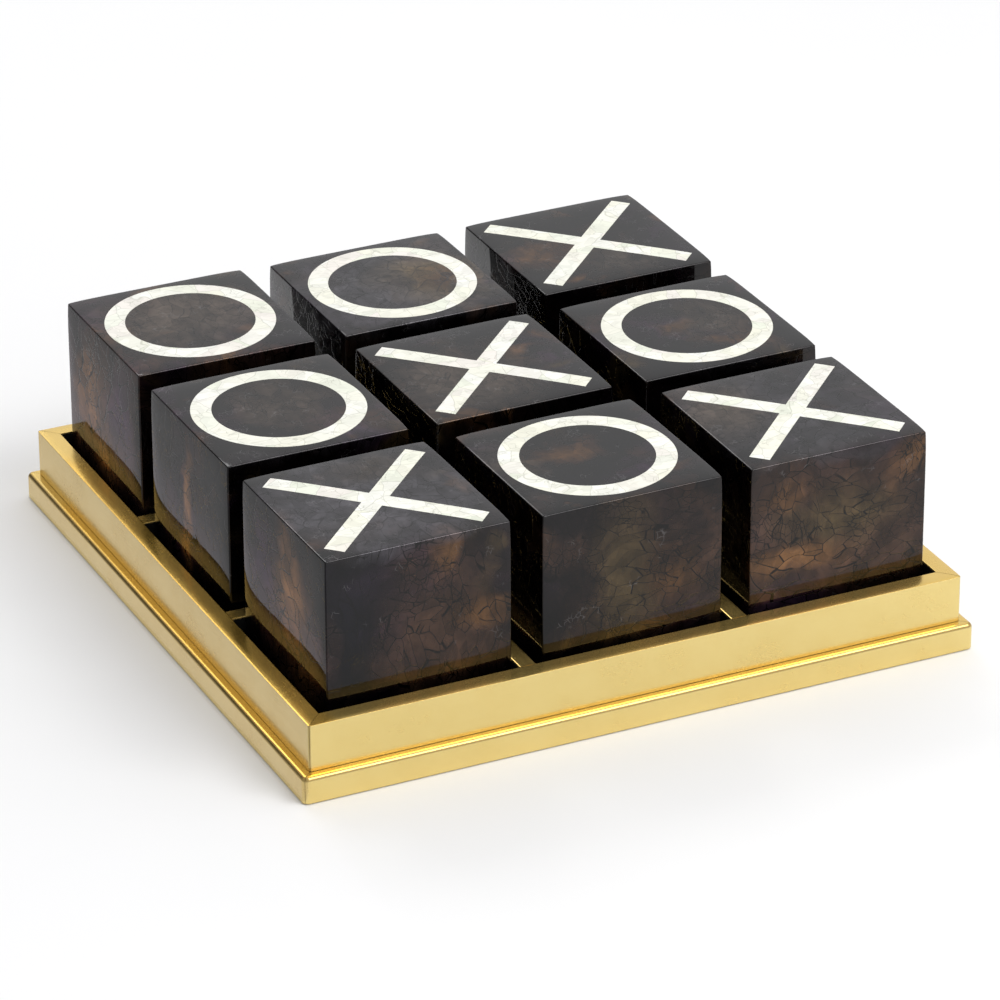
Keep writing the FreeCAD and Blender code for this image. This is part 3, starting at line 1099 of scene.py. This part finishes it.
def add_reflector(name, low, high, far, near):
    """A grey card lying left of the tray, seen only in reflections: it tones down the shine.

    low and high are its corners in plan; far and near are its brightness away from the tray
    and beside it.
    """
    mesh = bpy.data.meshes.new(name)
    plan = (low, (high[0], low[1]), high, (low[0], high[1]))
    mesh.from_pydata([(x, y, CARD_LIFT) for x, y in plan], [], [(0, 1, 2, 3)])
    card = bpy.data.objects.new(name, mesh)
    bpy.context.scene.collection.objects.link(card)
    material, tree = new_material(name)
    leftward = node(tree, "SeparateXYZ", {"Vector": millimetres(tree)}).outputs["X"]
    colour = mixed(tree, ramp(tree, leftward, -195, -165), far, near)
    glow = node(tree, "Emission", {"Color": colour})
    node(tree, "OutputMaterial", {"Surface": glow.outputs["Emission"]})
    mesh.materials.append(material)
    card.visible_camera = False
    card.visible_diffuse = False
    card.visible_shadow = False


def add_lights():
    middle = (0, 0, 0.05)
    add_softbox("key_softbox", (0.34, -0.53, 0.77), (1.05, 0.85), 5.3, middle)
    add_softbox("back_softbox", (-0.03, 0.70, 0.72), (0.9, 0.55), 3.5, middle)

    add_reflector(
        "left_card", (-1.2, -0.5), (-0.154, 1.5), (0.47, 0.47, 0.475), (0.69, 0.66, 0.70)
    )

    world = bpy.data.worlds.new("studio")
    world.use_nodes = True
    bpy.context.scene.world = world
    tree = world.node_tree
    tree.nodes.clear()
    direction = node(tree, "TexCoord").outputs["Generated"]
    dark_spot = Vector((-0.47, 0.80, 0.22)).normalized()
    towards = node(
        tree, "VectorMath", {0: direction, 1: tuple(dark_spot)}, operation="DOT_PRODUCT"
    ).outputs["Value"]
    start, full = (math.cos(math.radians(edge)) for edge in DARK_SPOT_EDGES)
    shade = ramp(tree, towards, start, full)
    across = node(tree, "SeparateXYZ", {"Vector": direction}).outputs["X"]
    sky = mixed(tree, ramp(tree, across, -0.75, 0.1), (0.46, 0.46, 0.47), (0.88, 0.88, 0.89))
    colour = mixed(tree, shade, sky, (0.01, 0.01, 0.01))
    background = node(tree, "Background", {"Color": colour, "Strength": 1.0})
    node(tree, "OutputWorld", {"Surface": background.outputs["Background"]})


CAMERA_ANGLES = (-25.28, -26.74, -0.2)           # turn, tilt and roll, in degrees
CAMERA_TARGET = Vector((0.0100, 0.0085, 0.0278))
CAMERA_DISTANCE = 2.425
CAMERA_SENSOR = 36                               # sensor and lens in millimetres
CAMERA_LENS = 203.4
CAMERA_CLIP = (0.05, 50)


def add_camera():
    """The camera looks down on the tray's front left corner from some way off."""
    turn, tilt, roll = (math.radians(angle) for angle in CAMERA_ANGLES)
    ahead = Vector((
        -math.sin(turn) * math.cos(tilt), math.cos(turn) * math.cos(tilt), math.sin(tilt)
    ))
    data = bpy.data.cameras.new("camera")
    data.sensor_width = CAMERA_SENSOR
    data.lens = CAMERA_LENS
    data.clip_start, data.clip_end = CAMERA_CLIP
    camera = bpy.data.objects.new("camera", data)
    camera.location = CAMERA_TARGET - ahead * CAMERA_DISTANCE
    aim = (-ahead).to_track_quat("Z", "Y").to_matrix().to_4x4()
    camera.rotation_euler = (aim @ Matrix.Rotation(roll, 4, "Z")).to_euler()
    bpy.context.scene.collection.objects.link(camera)
    bpy.context.scene.camera = camera


add_camera()
add_floor()
add_lights()
dress_cad_nodes()
add_rim()
add_plinth()
add_caps()
add_blocks()
add_felts()
bpy.context.scene.view_settings.view_transform = "Standard"
